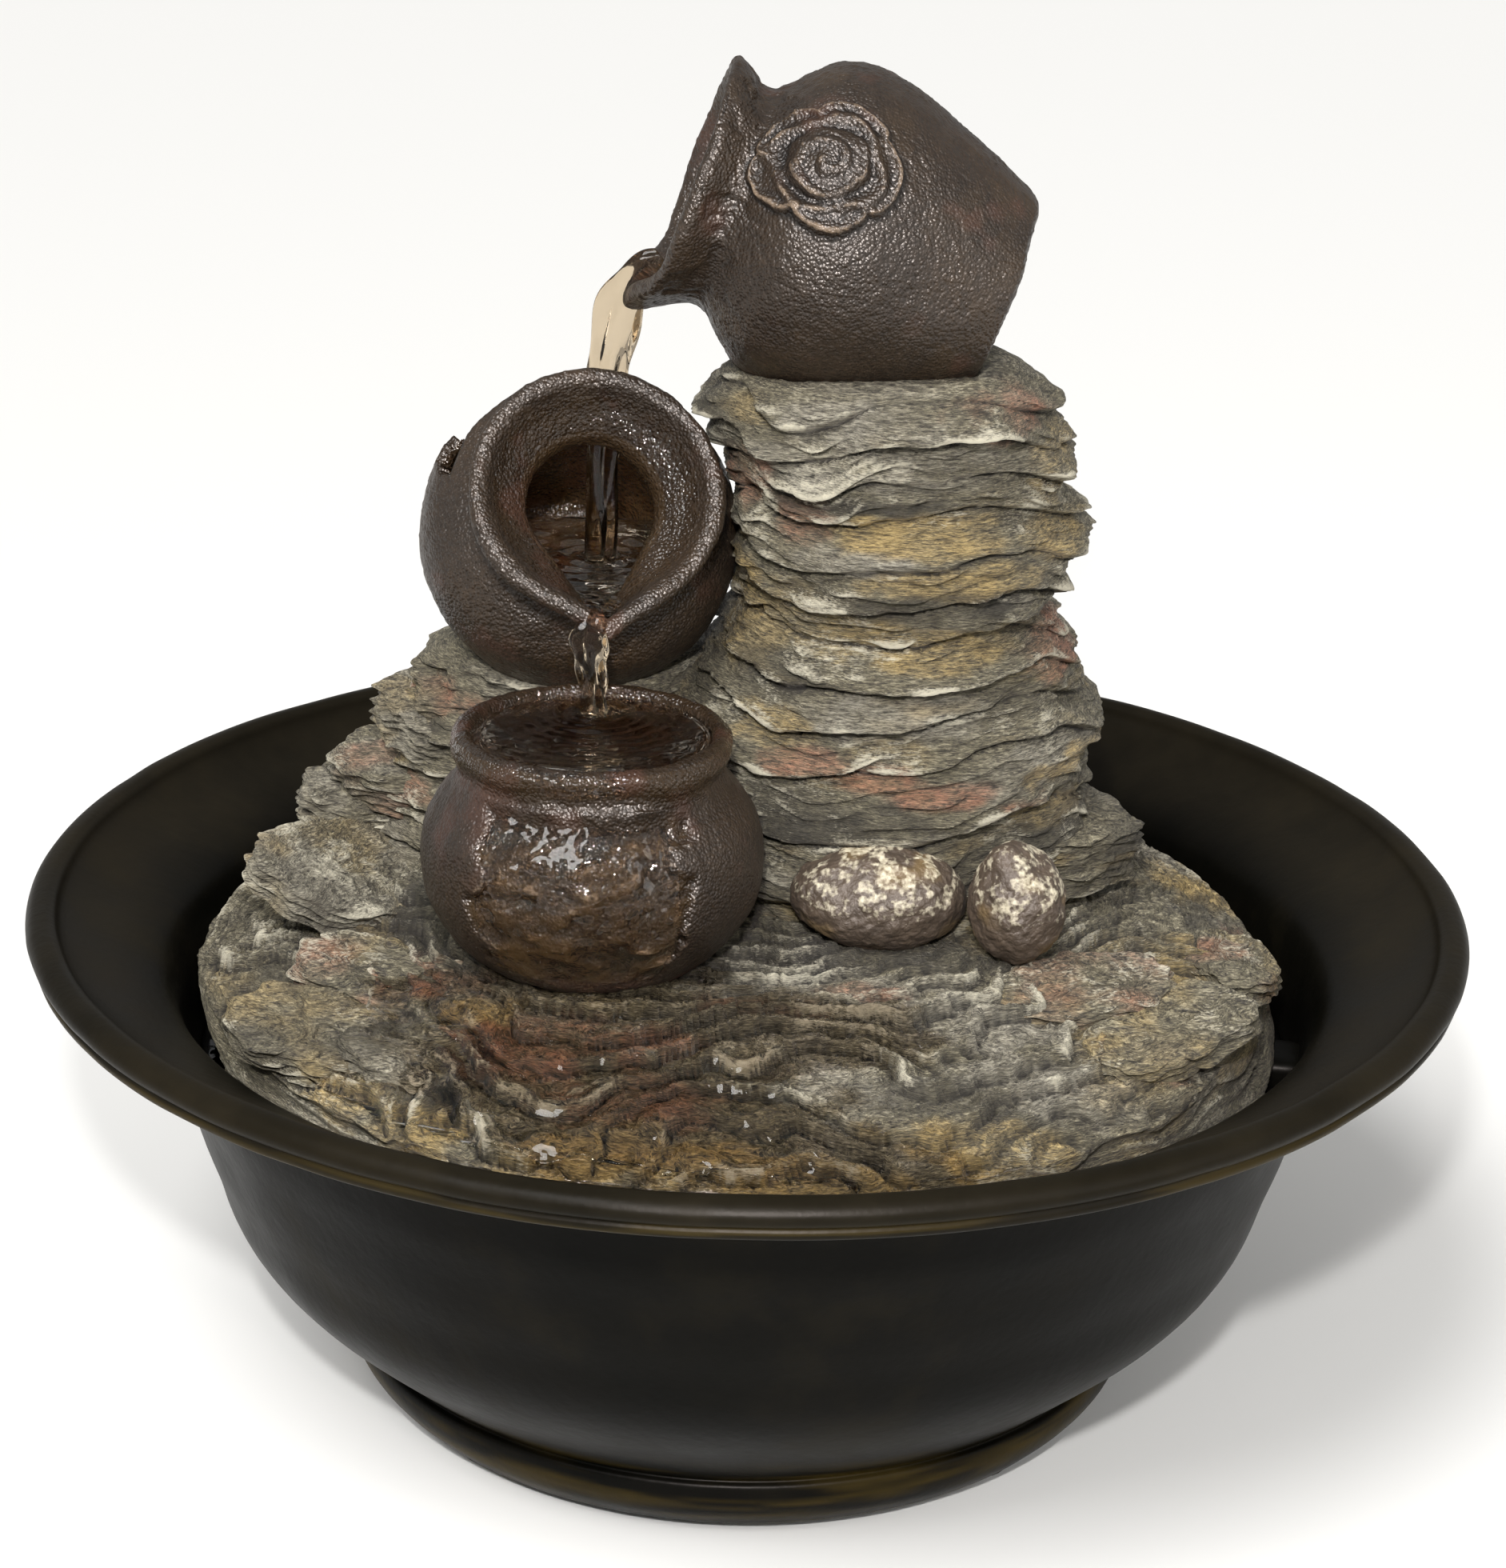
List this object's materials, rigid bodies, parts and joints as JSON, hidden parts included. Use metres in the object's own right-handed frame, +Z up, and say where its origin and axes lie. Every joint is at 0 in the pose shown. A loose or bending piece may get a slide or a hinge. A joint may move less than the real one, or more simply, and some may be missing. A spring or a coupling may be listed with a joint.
{
  "type": "tabletop water fountain",
  "caption": "Tabletop fountain: flared bowl with lift-off stacked-slate rockwork, two tipped jugs that pour into an overflowing pot, and a small submersible pump.",
  "frame": {"origin": "on the bowl's vertical axis, at the underside of the foot pads", "axes": "+Z up, -Y to the front where the pot overflows, +X to the side of the stacked-slate column"},
  "size_m": [0.3, 0.3, 0.2777],
  "materials": {
    "bowl_resin": "satin, patinated",
    "slate_resin": "cast slate texture, dry-brushed",
    "jug_resin": "sandy, satin",
    "pebble_resin": "crackled, satin",
    "rubber": "matt",
    "pump_plastic": "moulded, satin",
    "rotor_plastic": "moulded",
    "magnet": "moulded ferrite",
    "shaft_ceramic": "ground",
    "vinyl": "clear flexible tube"
  },
  "bodies": {
    "bowl": {"bowl": "bowl_resin", "foot_pad_right": "rubber", "foot_pad_back": "rubber", "foot_pad_left": "rubber", "foot_pad_front": "rubber", "pump_body": "pump_plastic", "impeller_housing": "pump_plastic", "rotor_shaft": "shaft_ceramic", "front_bush": "rubber", "rear_bush": "rubber", "cord_gland": "rubber", "suction_cup_front_left": "rubber", "suction_cup_front_right": "rubber", "suction_cup_back_left": "rubber", "suction_cup_back_right": "rubber"},
    "rockwork": {"rock_base": "slate_resin", "rock_column": "slate_resin", "upper_jug": "jug_resin", "middle_jug": "jug_resin", "lower_pot": "jug_resin", "pebble_large": "pebble_resin", "pebble_small": "pebble_resin", "riser_tube": "vinyl", "riser_grommet": "rubber"},
    "rotor": {"impeller": "rotor_plastic", "rotor_magnet": "magnet"},
    "cover": {"front_cover": "pump_plastic"},
    "dial": {"flow_dial": "rotor_plastic"}
  },
  "joints": [
    {"name": "rockwork_lift", "type": "slide", "parent": "bowl", "child": "rockwork", "axis": [0, 0, 1], "range_m": [0, 0.12]},
    {"name": "rotor_spin", "type": "hinge", "parent": "bowl", "child": "rotor", "pos_m": [0.028, 0.02, 0.0346], "axis": [0, 1, 0], "continuous": true},
    {"name": "cover_pull", "type": "slide", "parent": "bowl", "child": "cover", "axis": [0, -1, 0], "range_m": [0, 0.03]},
    {"name": "dial_turn", "type": "hinge", "parent": "cover", "child": "dial", "pos_m": [0.028, 0.0045, 0.0346], "axis": [0, -1, 0], "range_deg": [0, 90]}
  ]
}
